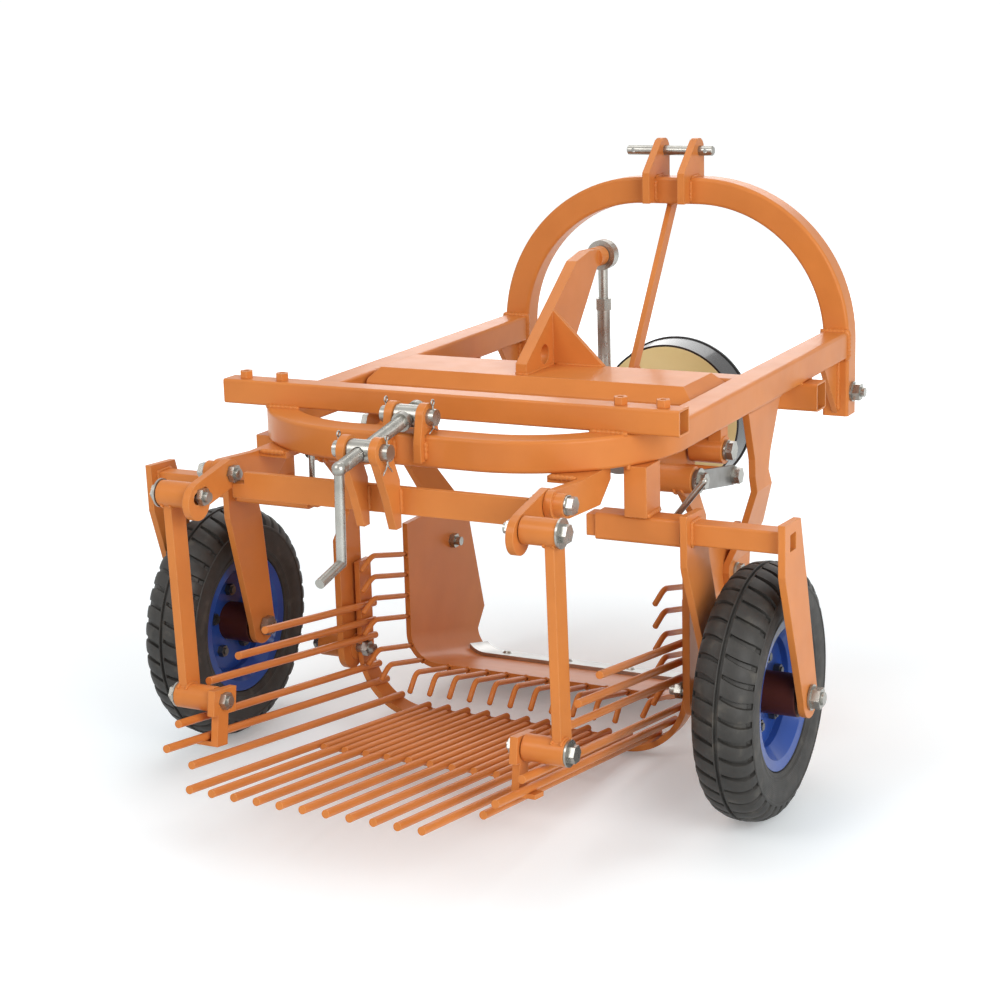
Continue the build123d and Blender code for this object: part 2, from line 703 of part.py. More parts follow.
def sieve_parts():
    def bar_line(grow):
        half = sieve_half + grow
        low = sieve_bottom_z - grow
        line = Polyline((-half, sieve_bar_top), (-half, low), (half, low), (half, sieve_bar_top))
        return fillet(line.vertices().sort_by(Axis.Y)[:2], sieve_bend + grow)

    thick = sieve_bar_thick / 2
    ring = bar_line(thick).edges() + bar_line(-thick).edges()
    for sign in (-1, 1):
        ring += [Line((sign * (sieve_half + thick), sieve_bar_top), (sign * (sieve_half - thick), sieve_bar_top))]
    bar_y0 = sieve_bar_y - sieve_bar_wide / 2
    bar_y1 = sieve_bar_y + sieve_bar_wide / 2
    bar = plate_y(make_face(ring), bar_y0, bar_y1)
    for sign in (-1, 1):
        bar -= rod_x(hanger_low_y, hanger_low_z, 9.0 + running, sign * (sieve_half - 9), sign * (sieve_half + 9))

    inner = sieve_half - thick - sieve_rod_radius - weld_gap
    low = sieve_bottom_z + thick + sieve_rod_radius / cos(rise) + weld_gap
    bend = sieve_bend - thick - sieve_rod_radius / cos(rise) - weld_gap
    centre_x = sieve_half - sieve_bend
    centre_z = sieve_bottom_z + sieve_bend
    places = []
    for angle, end in ((60.5, -365.0), (clamp_rod_angle, -385.0), (19.5, -331.0)):
        x = centre_x + bend * cos(radians(angle))
        z = centre_z - bend * sin(radians(angle))
        places.append((x, z, end))
    for z, end in ((144.0, -236.0), (172.0, -152.0), (203.0, -72.0)):
        places.append((inner, z, end))

    def sloped(x, z, y0, y1):
        z0 = z + (sieve_rod_front - y0) * tan(rise)
        z1 = z + (sieve_rod_front - y1) * tan(rise)
        return rod_between((x, y0, z0), (x, y1, z1), sieve_rod_radius)

    rods = []
    for i in range(-bottom_rod_pairs, bottom_rod_pairs + 1):
        rods.append(sloped(i * bottom_rod_pitch, low, sieve_rod_front, bottom_rod_end))
    for x, z, end in places:
        rods += both(sloped(x, z, sieve_rod_front, end))

    short = []
    for i in range(bottom_rod_pairs):
        short += both(sloped((i + 0.5) * bottom_rod_pitch, low, short_rod_front, short_rod_end))
    straps = []
    strap_half = (bottom_rod_pairs + 0.2) * bottom_rod_pitch
    strap_top = low * cos(rise) - sieve_rod_radius
    for y in (-70.0, 130.0):
        straps.append(along_rods(box(-strap_half, strap_half, y - 10, y + 10, strap_top - 6, strap_top)))

    clamp_in = sieve_half - 56.0
    clamp_out = clamp_in + plate
    bolt_y, bolt_z = level_point(link_low_y, link_low_z)
    foot_z = (centre_z - bend * sin(radians(clamp_rod_angle))) * cos(rise) - sieve_rod_radius
    view = outline(
        (bolt_y - 26, bolt_z + 18),
        (bolt_y + 34, bolt_z + 18),
        (bolt_y + 34, bolt_z - 22),
        (bolt_y + 14, bolt_z - 22),
        (bolt_y + 14, foot_z - 7),
        (bolt_y - 14, foot_z - 7),
        (bolt_y - 14, bolt_z - 22),
        (bolt_y - 26, bolt_z - 22),
    )
    clamp = plate_x(view, clamp_in, clamp_out)
    corner_x = centre_x + bend * cos(radians(clamp_rod_angle))
    clamp += box(clamp_in, corner_x + 14, bolt_y - 14, bolt_y + 14, foot_z - 7, foot_z)
    clamp = along_rods(clamp)
    clamp -= rod_x(link_low_y, link_low_z, 8.0 + running, clamp_in - 2, clamp_out + 2)
    low_bolt = bolt_x(
        link_low_y, link_low_z, 8.0, link_x1 + side_gap, clamp_in - 14, clamp_in, 24.0, 20.0
    )

    top_bolt = bolt_x(link_top_y, link_top_z, 8.0, link_x1 + side_gap, arm_x0 - 16, arm_x0, 24.0, 22.0)
    link_line = strip(link_low_y + link_shift, link_low_z, link_top_y + link_shift, link_top_z, 36)
    link = plate_x(link_line, sieve_half + 4, sieve_half + 18)
    low_x0 = clamp_out + 2.0
    for y, z, x0, clear in ((link_low_y, link_low_z, low_x0, open_gap), (link_top_y, link_top_z, link_x0, running)):
        link += rod_x(y, z, link_bush_radius, x0, link_x1)
        link -= rod_x(y, z, 8.0 + clear, x0 - 1, link_x1 + 1)
    return {
        "sieve_bar": bar,
        "sieve_rods": rods,
        "sieve_short_rods": short,
        "sieve_straps": straps,
        "sieve_clamps": both(clamp),
        "sieve_rear_bolts": both(low_bolt),
        "rear_links": both(link),
        "rear_link_bolts": both(top_bolt),
    }


def adjuster_parts():
    bracket_x0 = arm_x1 + side_gap
    bracket_x1 = bracket_x0 + plate
    boss_end = bracket_x1 + 16
    tab = box(bracket_x0 - 50, bracket_x1, -91, -20, rail_bottom - 10, rail_bottom)
    view = outline(
        (0, rail_bottom),
        (0, rail_bottom - 20),
        (-40, rail_bottom - 51),
        (-150, rail_bottom - 45),
        (arm_pivot_y, arm_pivot_z - 21),
        (arm_pivot_y, arm_pivot_z + 21),
        (-101, rail_bottom),
    )
    view += disc(arm_pivot_y, arm_pivot_z, 21)
    bracket = plate_x(view, bracket_x0, bracket_x1) + tab
    bracket += rod_x(arm_pivot_y, arm_pivot_z, 17.0, bracket_x1, boss_end)
    bracket -= rod_x(arm_pivot_y, arm_pivot_z, 8.0 + running, bracket_x0 - 1, boss_end + 1)
    pivot = bolt_x(arm_pivot_y, arm_pivot_z, 8.0, boss_end, arm_x0 - 16, arm_x0 - side_gap, 24.0, 15.0)

    arm_view = strip(arm_pivot_y, arm_pivot_z, link_top_y, link_top_z, 44)
    arm_view += disc(arm_pivot_y, arm_pivot_z, 22)
    arm_view += disc(link_top_y, link_top_z, 22)
    arm_view += disc(link_top_y - 4, link_top_z - 8, 28)
    slope = degrees(atan((arm_pivot_z - link_top_z) / (arm_pivot_y - link_top_y)))
    slot = Rot(0, 0, slope) * SlotOverall(40, 16 + 2 * open_gap)
    arm_view -= Pos(link_top_y + 2, link_top_z + 0.4) * slot
    arm_view -= disc(arm_pivot_y, arm_pivot_z, 8.0 + running)
    arms = both(plate_x(arm_view, arm_x0, arm_x1))
    cross_y0 = arm_pivot_y + 1
    cross_y1 = cross_y0 + 10
    cross = box(-arm_x0, arm_x0, cross_y0, cross_y1, arm_pivot_z - 38, arm_pivot_z + 3)
    for sign in (-1, 1):
        cross -= rod_x(arm_pivot_y, arm_pivot_z, 16.0, sign * (arm_x0 - 22), sign * (arm_x0 + 1))

    lever_x0 = 20.5
    lever_x1 = 33.5
    lever = outline(
        (cross_y0, arm_pivot_z - 58),
        (cross_y0, arm_pivot_z + 14),
        (screw_rear_y + 22, screw_rear_z),
        (screw_rear_y - 22, screw_rear_z),
        (cross_y0 - 34, arm_pivot_z - 8),
        (cross_y0 - 16, arm_pivot_z - 58),
    )
    lever += disc(screw_rear_y, screw_rear_z, 22)
    lever -= disc(screw_rear_y, screw_rear_z, 12.5 + running)
    levers = both(plate_x(lever, lever_x0, lever_x1))

    u_face = u_rear_y - rail / 2
    u_front = u_rear_y + rail / 2
    lug = outline(
        (u_face - 14, rail_bottom + 10),
        (u_face, rail_bottom + 10),
        (u_face, rail_top),
        (u_front - 6, rail_top),
        (screw_front_y + 21, screw_front_z),
        (screw_front_y - 21, screw_front_z),
        (u_face - 14, rail_top - 12),
    )
    lug += disc(screw_front_y, screw_front_z, 21)
    lug -= disc(screw_front_y, screw_front_z, 12.5 + running)
    lugs = both(plate_x(lug, lever_x0, lever_x1))

    run = screw_front_y - screw_rear_y
    climb = screw_front_z - screw_rear_z
    length = hypot(run, climb)
    along_y = run / length
    along_z = climb / length

    def on_screw(distance):
        return 0.0, screw_rear_y + along_y * distance, screw_rear_z + along_z * distance

    def trunnion(y, z, clear):
        block = rod_x(y, z, 12.5, -46, 46) + rod_x(y, z, 17.0, -lever_x0 + side_gap, lever_x0 - side_gap)
        for x in (-40.0, 40.0):
            block += rod_z(x, y, 1.8, z - 17, z + 19)
        bore = rod_between(
            (0, y - along_y * 40, z - along_z * 40), (0, y + along_y * 40, z + along_z * 40), screw_radius + clear
        )
        return block - bore

    rear = trunnion(screw_rear_y, screw_rear_z, open_gap)
    front = trunnion(screw_front_y, screw_front_z, running)
    screw = rod_between(on_screw(-74), on_screw(length + 36), screw_radius)
    screw += rod_between(on_screw(length + 18), on_screw(length + 28), 15.0)
    screw += rod_between(on_screw(length - 30), on_screw(length - 20), 15.0)
    top = on_screw(-70)
    bar_radius = 7.5
    drop = 138.0
    elbow = (0.0, top[1] - 5, top[2] - drop)
    knob = (0.0, elbow[1] - 62, elbow[2] - 14)
    handle = rod_between(top, elbow, bar_radius) + rod_between(elbow, knob, bar_radius)
    handle += Pos(*elbow) * Sphere(bar_radius)
    handle += Pos(*top) * Sphere(screw_radius + 1)
    return {
        "adjuster_brackets": both(bracket),
        "adjuster_pivots": both(pivot),
        "adjuster_arms": arms,
        "adjuster_crossbar": [cross] + levers,
        "screw_lugs": lugs,
        "rear_trunnion": rear,
        "front_trunnion": front,
        "hand_screw": screw + handle,
    }


def wheel_parts():
    wall = (socket_size - wheel_tube) / 2 - slide_gap
    socket = tube_x(wheel_tube_y, wheel_tube_z, socket_size, wall, socket_x0, socket_x1, 5.6)
    post_z = wheel_tube_z + socket_size / 2
    post = box(post_x0, post_x1, wheel_tube_y - post_half, wheel_tube_y + post_half, post_z, rail_bottom)
    arm = tube_x(wheel_tube_y, wheel_tube_z, wheel_tube, 4.0, socket_x0 - 16, fork_outer_x + fork_thick, 3.0)

    rear = wheel_tube_y - 36
    front = wheel_tube_y + 34
    view = outline(
        (rear, fork_top_z),
        (front, fork_top_z - 4),
        (front + 28, fork_fold_z - 10),
        (wheel_y + fork_eye, axle_z),
        (wheel_y - fork_eye, axle_z),
        (rear + 2, fork_fold_z + 10),
    )
    view += disc(wheel_y, axle_z, fork_eye)
    view -= disc(wheel_y, axle_z, 10.0 + running)
    view -= Pos(wheel_tube_y, wheel_tube_z) * RectangleRounded(wheel_tube, wheel_tube, 3.0)

    def fork(x, spread):
        low = axle_z - fork_eye - 2
        shear = (fork_fold_z - low) / (fork_fold_z - axle_z) * spread
        bend = outline(
            (x, fork_top_z + 1),
            (x, fork_fold_z),
            (x + shear, low),
            (x + shear + fork_thick, low),
            (x + fork_thick, fork_fold_z),
            (x + fork_thick, fork_top_z + 1),
        )
        return plate_y(bend, -60, 160) & plate_x(view, x - 60, x + 80)

    inner = fork(fork_inner_x, fork_inner_spread)
    outer = fork(fork_outer_x, fork_outer_spread)

    axle_in = fork_foot_inner
    axle_out = fork_foot_outer + fork_thick
    axle = rod_x(wheel_y, axle_z, 10.0, axle_in - 2, axle_out + 22)
    axle += hex_x(wheel_y, axle_z, 30.0, axle_in - 14, axle_in - 2)
    nut = rod_x(wheel_y, axle_z, 20.0, axle_out + 1, axle_out + 4)
    nut += hex_x(wheel_y, axle_z, 30.0, axle_out + 4, axle_out + 18)
    nut -= rod_x(wheel_y, axle_z, 10.0 + running, axle_out, axle_out + 30)

    hub_half = (fork_foot_outer - fork_foot_inner - fork_thick) / 2 - 5
    hub_x = (fork_foot_outer + fork_foot_inner + fork_thick) / 2
    hub = rod_x(wheel_y, axle_z, 33.0, hub_x - hub_half, hub_x + hub_half)
    hub -= rod_x(wheel_y, axle_z, 10.0 + running, hub_x - hub_half - 1, hub_x + hub_half + 1)

    def turned(points):
        profile = make_face(Polyline(*[(x, 0, r) for x, r in points], close=True))
        return Pos(wheel_x, wheel_y, axle_z) * revolve(profile, Axis.X)

    seat = rim_radius - 8
    rim = turned(
        [
            (-36, seat),
            (-38, rim_radius + 8),
            (-34, rim_radius + 8),
            (-31, seat + 4),
            (-12, seat - 12),
            (12, seat - 12),
            (31, seat + 4),
            (34, rim_radius + 8),
            (38, rim_radius + 8),
            (36, seat),
            (14, seat - 17),
            (3, seat - 17),
            (3, 30),
            (-3, 30),
            (-3, seat - 17),
            (-14, seat - 17),
        ]
    )
    rim -= rod_x(wheel_y, axle_z, 33.3, wheel_x - 50, wheel_x + 50)
    bolts = []
    for i in range(5):
        a = radians(90 + 72 * i)
        y = wheel_y + 56 * cos(a)
        z = axle_z + 56 * sin(a)
        rim -= rod_x(y, z, 6.0 + running, wheel_x - 20, wheel_x + 20)
        bolt = rod_x(y, z, 6.0, wheel_x - 16, wheel_x + 16)
        bolt += hex_x(y, z, 18.0, wheel_x + 3, wheel_x + 13)
        bolt += hex_x(y, z, 18.0, wheel_x - 13, wheel_x - 3)
        bolts.append(bolt)

    wide = tyre_width / 2
    bead = rim_radius + 8.3
    carcass = turned(
        [
            (-33, bead),
            (-40, bead + 2),
            (-wide, bead + 28),
            (-wide + 1, tyre_radius - 34),
            (-wide + 9, tyre_radius - 13),
            (-wide + 24, tyre_radius - 4),
            (-4, tyre_radius),
            (-3, tyre_radius - 7),
            (3, tyre_radius - 7),
            (4, tyre_radius),
            (wide - 24, tyre_radius - 4),
            (wide - 9, tyre_radius - 13),
            (wide - 1, tyre_radius - 34),
            (wide, bead + 28),
            (40, bead + 2),
            (33, bead),
        ]
    )
    blocks = 32
    cutters = []
    for sign in (-1, 1):
        for i in range(blocks):
            slot = box(sign * 7, sign * (wide + 6), -1.8, 1.8, tyre_radius - 7, tyre_radius + 6)
            slot = Rot(0, 0, sign * 9) * slot
            turn = 360.0 / blocks * (i + (0.25 if sign > 0 else -0.25))
            cutters.append(Pos(wheel_x, wheel_y, axle_z) * Rot(turn, 0, 0) * slot)
    tyre = carcass - cutters
    parts = {"wheel_sockets": both(socket + post)}
    pieces = {
        "wheel_fork": [arm + inner + outer],
        "axle": [axle, nut],
        "wheel_hub": [hub],
        "wheel_rim": [rim],
        "rim_bolts": bolts,
        "tyre": [tyre],
    }
    for name, shapes in pieces.items():
        parts[name + "_right"] = shapes
        parts[name + "_left"] = [mirror(shape, about=Plane.YZ) for shape in shapes]
    return parts


nodes = frame_parts()
hitch, hitch_bores = hitch_parts()
for bore in hitch_bores:
    nodes["headstock_hoop"] -= bore
nodes.update(hitch)
nodes.update(share_parts())
nodes.update(rocker_parts())
nodes.update(drive_parts())
nodes.update(sieve_parts())
nodes.update(adjuster_parts())
nodes.update(wheel_parts())

groups = {}
for name, shape in nodes.items():
    members = shape if isinstance(shape, list) else [shape]
    solids = []
    for member in members:
        solids += list(member.solids())
    groups[name] = Compound(children=solids)
boxes = [group.bounding_box() for group in groups.values()]
back_y = min(box_.min.Y for box_ in boxes)
front_y = max(box_.max.Y for box_ in boxes)
shift = -(back_y + front_y) / 2
for name, group in groups.items():
    export_step(Pos(0, shift, 0) * group, "parts/" + name + ".step")
low = min(box_.min.Z for box_ in boxes)
high = max(box_.max.Z for box_ in boxes)
side = max(box_.max.X for box_ in boxes)
print("nodes", len(groups), "shift", round(shift, 3), "z", round(low, 3), round(high, 3), "x", round(side, 3))
print("y", round(back_y, 3), round(front_y, 3))
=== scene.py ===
"""Looks, light and camera for the potato digger."""

import json
from math import cos, pi, radians, sin

import bpy
from mathutils import Matrix, Vector


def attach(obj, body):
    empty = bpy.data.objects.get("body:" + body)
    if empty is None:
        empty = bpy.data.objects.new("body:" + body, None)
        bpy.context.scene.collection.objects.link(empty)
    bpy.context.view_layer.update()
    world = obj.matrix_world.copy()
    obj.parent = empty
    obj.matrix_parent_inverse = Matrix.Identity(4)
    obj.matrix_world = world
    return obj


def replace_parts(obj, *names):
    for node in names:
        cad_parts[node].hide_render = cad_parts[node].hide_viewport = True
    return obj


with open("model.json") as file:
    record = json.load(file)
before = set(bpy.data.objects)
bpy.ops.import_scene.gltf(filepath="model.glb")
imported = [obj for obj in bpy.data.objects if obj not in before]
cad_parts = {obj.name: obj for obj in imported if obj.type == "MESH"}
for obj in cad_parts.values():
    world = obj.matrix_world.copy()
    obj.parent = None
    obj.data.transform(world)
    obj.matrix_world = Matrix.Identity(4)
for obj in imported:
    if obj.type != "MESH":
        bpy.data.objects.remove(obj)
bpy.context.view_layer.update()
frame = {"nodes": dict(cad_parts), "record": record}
nodes = frame["nodes"]
scene = bpy.context.scene

# Places on the machine are in millimetres: x to its right, y forward from the rear crossbar, z up from the
# ground. The origin lies MIDDLE_Y metres forward of the crossbar.
MM_PER_M = 1000
MIDDLE_Y = 0.287533
SIDES = (-1, 1)

WHEEL_X = 487.0
WHEEL_Y = 104.5
WHEEL_Z = 200.0
WHEEL_MIDDLE = (0.0, WHEEL_Y / MM_PER_M - MIDDLE_Y, WHEEL_Z / MM_PER_M)

# Half of the tyre's section: distance from the middle, radius and how deep a groove cuts there.
TYRE_SECTION = (
    (1.6, 195.8, 0.0),
    (2.8, 199.4, 0.0),
    (4.2, 199.9, 0.0),
    (5.0, 199.9, 5.5),
    (13.0, 199.1, 6.5),
    (19.0, 198.0, 6.5),
    (25.0, 196.2, 6.5),
    (31.0, 193.4, 7.5),
    (36.0, 190.0, 7.5),
    (40.0, 186.0, 7.0),
    (43.2, 181.0, 6.0),
    (45.2, 176.0, 5.0),
    (46.2, 172.6, 3.5),
    (46.6, 170.6, 0.0),
    (47.9, 169.6, 0.0),
    (48.2, 166.8, 0.0),
    (47.2, 165.6, 0.0),
    (47.6, 158.0, 0.0),
    (47.4, 150.0, 0.0),
    (46.0, 140.0, 0.0),
    (44.0, 133.4, 0.0),
    (44.4, 131.6, 0.0),
    (43.2, 129.6, 0.0),
    (41.9, 128.4, 0.0),
    (40.0, 121.3, 0.0),
    (33.0, 119.3, 0.0),
)
# One block of the tread: place along the pitch, share of the groove's depth, fall below the block's crown.
TREAD_ROWS = (
    (-0.12, 0.0, 1.2),
    (-0.085, 1.0, 0.0),
    (0.085, 1.0, 0.0),
    (0.12, 0.0, 1.2),
    (0.26, 0.0, 0.6),
    (0.5, 0.0, 0.12),
    (0.74, 0.0, 0.6),
)
TREAD_BLOCKS = 40
TREAD_LEAN = 0.065
TREAD_STAGGER = 0.25
TREAD_HALF_WIDTH = 45.0
GROOVE_EDGE = 0.2
GROOVE_WIDENING = 0.75
SHOULDER_X = 41.0
SHOULDER_INSET = 0.6
TREAD_CREASE = 32
RINGED_RADIUS = 0.166
RINGS_PER_M = 2100.0

SCREW_NUT = (0, -236, 612)
SCREW_SEAT = (0, -94, 636)

EDGE_ROUNDING = 0.002
PAINT_SPECULAR = 0.13
COAT_ROUGHNESS = 0.1
PEEL_STRENGTH = 0.04
METAL_SHARE = 0.85

FLOOR_SIZE = 400.0
GLOW_NEAR = 0.185
GLOW_FAR = 0.62
GLOW_FROM = 0.45
GLOW_TO = 3.2
SKY_LEVEL = 0.43
LIT_POINT = (0, 0, 0.4)
LAMPS = (
    ("key", (-1.6, -3.9, 3.6), 2.2, 72.0),
    ("fill", (4.0, -2.6, 2.2), 3.4, 168.0),
    ("top", (-0.8, 0.9, 4.6), 2.4, 40.0),
    ("front", (-1.2, 4.4, 2.4), 3.2, 50.0),
)

CAMERA_PLACE = (1.5189, -2.8073 - MIDDLE_Y, 1.2827)
AZIMUTH = 27.4
ELEVATION = 13.8
ROLL = -1.7
SENSOR_WIDTH = 36.0
LENS = 75.94
SHIFT_X = 0.0218
SHIFT_Y = -0.0111
VIEW_REACH = 1000.0


def place(x, y, z):
    """A spot on the machine, in metres in the shared frame."""
    return Vector((x / MM_PER_M, y / MM_PER_M - MIDDLE_Y, z / MM_PER_M))


class Nodes:
    """The surface of one material, built up from layers of pattern."""

    def __init__(self, owner):
        owner.use_nodes = True
        self.owner = owner
        self.tree = owner.node_tree
        self.shader = self.tree.nodes.get("Principled BSDF")

    def add(self, kind, **values):
        node = self.tree.nodes.new(kind)
        for key, value in values.items():
            if hasattr(node, key):
                setattr(node, key, value)
            else:
                node.inputs[key.replace("_", " ")].default_value = value
        return node

    def link(self, source, target):
        self.tree.links.new(source, target)

    def feed(self, source, socket_name):
        self.link(source, self.shader.inputs[socket_name])

    def set(self, socket_name, value):
        self.shader.inputs[socket_name].default_value = value

    def coordinates(self):
        return self.add("ShaderNodeTexCoord").outputs["Object"]

    def noise(self, scale, detail=4.0):
        node = self.add("ShaderNodeTexNoise", Scale=scale, Detail=detail)
        self.link(self.coordinates(), node.inputs["Vector"])
        return node.outputs["Fac"]

    def ramp(self, source, stops):
        node = self.add("ShaderNodeValToRGB")
        ramp = node.color_ramp
        while len(ramp.elements) < len(stops):
            ramp.elements.new(0.5)
        for element, (where, colour) in zip(ramp.elements, stops):
            element.position = where
            element.color = (*colour, 1.0)
        self.link(source, node.inputs["Fac"])
        return node.outputs["Color"]

    def range(self, source, low, high, start=0.0, end=1.0):
        node = self.add("ShaderNodeMapRange", From_Min=start, From_Max=end, To_Min=low, To_Max=high)
        self.link(source, node.inputs["Value"])
        return node.outputs["Result"]

    def math(self, operation, first, second):
        node = self.add("ShaderNodeMath", operation=operation)
        for socket, value in zip(node.inputs, (first, second)):
            if isinstance(value, (int, float)):
                socket.default_value = value
            else:
                self.link(value, socket)
        return node.outputs["Value"]

    def vector(self, operation, first, second=None):
        node = self.add("ShaderNodeVectorMath", operation=operation)
        self.link(first, node.inputs[0])
        if isinstance(second, tuple):
            node.inputs[1].default_value = second
        elif second is not None:
            self.link(second, node.inputs[1])
        return node.outputs

    def bump(self, source, strength, distance):
        node = self.add("ShaderNodeBump", Strength=strength, Distance=distance)
        self.link(source, node.inputs["Height"])
        self.feed(node.outputs["Normal"], "Normal")
        return node


def paint(name, dark, light, edge_highlight, rough, coat=0.2):
    """Sprayed paint: slow drift of tone, a fine orange-peel bump, and a painted highlight that lightens the
    rounded edges in patches.
    """
    drift_scale = 9.0
    wear_scale = 70.0
    gloss_scale = 30.0
    peel_scale = 420.0
    peel_depth = 0.0006
    made = Nodes(bpy.data.materials.new(name))
    tone = made.ramp(made.noise(drift_scale), [(0.35, dark), (0.65, light)])
    edge = made.add("ShaderNodeBevel", samples=6, Radius=EDGE_ROUNDING).outputs["Normal"]
    surface = made.add("ShaderNodeNewGeometry").outputs["Normal"]
    turned = made.vector("DOT_PRODUCT", edge, surface)["Value"]
    # Painted highlight: along rounded edges, where the bevelled normal turns from the face, the colour is
    # mixed towards a lighter one in patches.
    highlit_edges = made.range(turned, 0.0, 1.0, 0.99, 0.86)
    patchy = made.range(made.noise(wear_scale), 0.1, 0.9)
    mix = made.add("ShaderNodeMixRGB", Color2=(*edge_highlight, 1.0))
    made.link(made.math("MULTIPLY", highlit_edges, patchy), mix.inputs["Fac"])
    made.link(tone, mix.inputs["Color1"])
    made.feed(mix.outputs["Color"], "Base Color")
    made.feed(made.range(made.noise(gloss_scale), rough - 0.05, rough + 0.08), "Roughness")
    made.set("Coat Weight", coat)
    made.set("Coat Roughness", COAT_ROUGHNESS)
    made.set("Specular IOR Level", PAINT_SPECULAR)
    peel = made.bump(made.noise(peel_scale, 2.0), PEEL_STRENGTH, peel_depth)
    made.link(edge, peel.inputs["Normal"])
    return made.owner


def metal(name, dark, light, rough):
    """Metal with a slow drift of tone, uneven gloss and a fine grain."""
    drift_scale = 24.0
    gloss_scale = 60.0
    grain_scale = 300.0
    grain_strength = 0.06
    grain_depth = 0.0004
    made = Nodes(bpy.data.materials.new(name))
    made.feed(made.ramp(made.noise(drift_scale), [(0.3, dark), (0.7, light)]), "Base Color")
    made.feed(made.range(made.noise(gloss_scale), rough - 0.08, rough + 0.1), "Roughness")
    made.set("Metallic", METAL_SHARE)
    made.bump(made.noise(grain_scale), grain_strength, grain_depth)
    return made.owner


def rubber(name, dark, light, dusty):
    """Tyre rubber with dry dust on it and moulded rings on its side walls."""
    dust_scale = 40.0
    dust_detail = 8.0
    gloss_scale = 50.0
    grain_scale = 250.0
    relief_strength = 0.2
    relief_depth = 0.0004
    made = Nodes(bpy.data.materials.new(name))
    tone = made.ramp(made.noise(dust_scale, dust_detail), [(0.3, dark), (0.58, light), (0.8, dusty)])
    made.feed(tone, "Base Color")
    made.feed(made.range(made.noise(gloss_scale), 0.5, 0.7), "Roughness")
    from_axle = made.vector("SUBTRACT", made.coordinates(), WHEEL_MIDDLE)["Vector"]
    flat = made.vector("MULTIPLY", from_axle, (0.0, 1.0, 1.0))["Vector"]
    radius = made.vector("LENGTH", flat)["Value"]
    rings = made.math("SINE", made.math("MULTIPLY", radius, RINGS_PER_M), 0.0)
    below_tread = made.math("LESS_THAN", radius, RINGED_RADIUS)
    height = made.math("ADD", made.math("MULTIPLY", rings, below_tread), made.noise(grain_scale))
    made.bump(height, relief_strength, relief_depth)
    return made.owner


# The fourth colour of each paint is the painted highlight on its rounded edges.
finishes = {
    "orange_paint": paint(
        "orange_coat", (0.59, 0.192, 0.043), (0.65, 0.218, 0.050), (0.78, 0.36, 0.14), 0.34, 0.1
    ),
    "cream_paint": paint("cream_face", (0.69, 0.57, 0.27), (0.75, 0.63, 0.32), (0.78, 0.68, 0.40), 0.42),
    "black_plastic": paint(
        "guard_black", (0.014, 0.014, 0.014), (0.024, 0.024, 0.024), (0.05, 0.05, 0.05), 0.24, 0.7
    ),
    "blue_paint": paint(
        "rim_blue", (0.014, 0.052, 0.25), (0.022, 0.070, 0.31), (0.06, 0.14, 0.42), 0.34, 0.4
    ),
    "brown_paint": paint(
        "hub_brown", (0.050, 0.012, 0.008), (0.075, 0.018, 0.012), (0.11, 0.04, 0.03), 0.5
    ),
    "zinc_steel": metal("zinc_plate", (0.30, 0.29, 0.262), (0.41, 0.40, 0.365), 0.27),
    "bare_steel": metal("rolled_steel", (0.21, 0.20, 0.185), (0.30, 0.29, 0.275), 0.42),
    "tyre_rubber": rubber(
        "tread_rubber", (0.015, 0.0135, 0.0115), (0.027, 0.0245, 0.021), (0.070, 0.062, 0.050)
    ),
}
scoured = metal("soil_worn_steel", (0.42, 0.41, 0.395), (0.56, 0.55, 0.53), 0.34)
blackened = metal("blackened_bolts", (0.09, 0.088, 0.082), (0.17, 0.165, 0.15), 0.38)
for entry in frame["record"]["subparts"]:
    mesh = nodes[entry["node"]].data
    mesh.materials.clear()
    mesh.materials.append(finishes[entry["material_slot"]])
nodes["share_blade"].data.materials[0] = scoured
for name in ("rim_bolts_right", "rim_bolts_left"):
    nodes[name].data.materials[0] = blackened


def add_piece(name, points, faces, body, slot_name, crease=None):
    """A smooth mesh that rides on a body; faces that meet beyond the crease angle keep a sharp edge."""
    mesh = bpy.data.meshes.new(name)
    mesh.from_pydata(points, [], faces)
    mesh.polygons.foreach_set("use_smooth", [True] * len(mesh.polygons))
    mesh.update()
    if crease is not None:
        mesh.set_sharp_from_angle(angle=radians(crease))
    mesh.materials.append(finishes[slot_name])
    piece = bpy.data.objects.new(name, mesh)
    scene.collection.objects.link(piece)
    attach(piece, body)
    return piece


class Strands:
    """Thin round runs of metal gathered into one piece, such as weld beads and bent wire."""

    END_TAPER = 0.55

    def __init__(self):
        self.points = []
        self.faces = []

    def run(self, line, radius, ripple=0.0, step=2.5, sides=6):
        """A round run along a line, in millimetres; every third ring of a rippled run swells."""
        line = [place(*p) for p in line]
        path = [line[0]]
        for a, b in zip(line, line[1:]):
            count = max(1, round((b - a).length / (step / MM_PER_M)))
            path += [a.lerp(b, (i + 1) / count) for i in range(count)]
        first = len(self.points)
        final = len(path) - 1
        side = None
        for i, point in enumerate(path):
            along = (path[min(i + 1, final)] - path[max(i - 1, 0)]).normalized()
            if side is None:
                side = along.orthogonal().normalized()
            side = (side - along * side.dot(along)).normalized()
            other = along.cross(side)
            swell = ripple if i % 3 == 0 else -ripple / 2
            taper = self.END_TAPER if i in (0, final) else 1.0
            reach = radius / MM_PER_M * (1.0 + swell) * taper
            for k in range(sides):
                a = 2 * pi * k / sides
                self.points.append(point + (side * cos(a) + other * sin(a)) * reach)
        for i in range(final):
            for k in range(sides):
                a = first + i * sides + k
                b = first + i * sides + (k + 1) % sides
                self.faces.append((a, b, b + sides, a + sides))
        last = first + final * sides
        self.faces.append(tuple(first + k for k in reversed(range(sides))))
        self.faces.append(tuple(last + k for k in range(sides)))

    def bead(self, line, radius=2.6):
        self.run(line, radius, 0.16)

    def finish(self, name, body, slot_name):
        return add_piece(name, self.points, self.faces, body, slot_name)


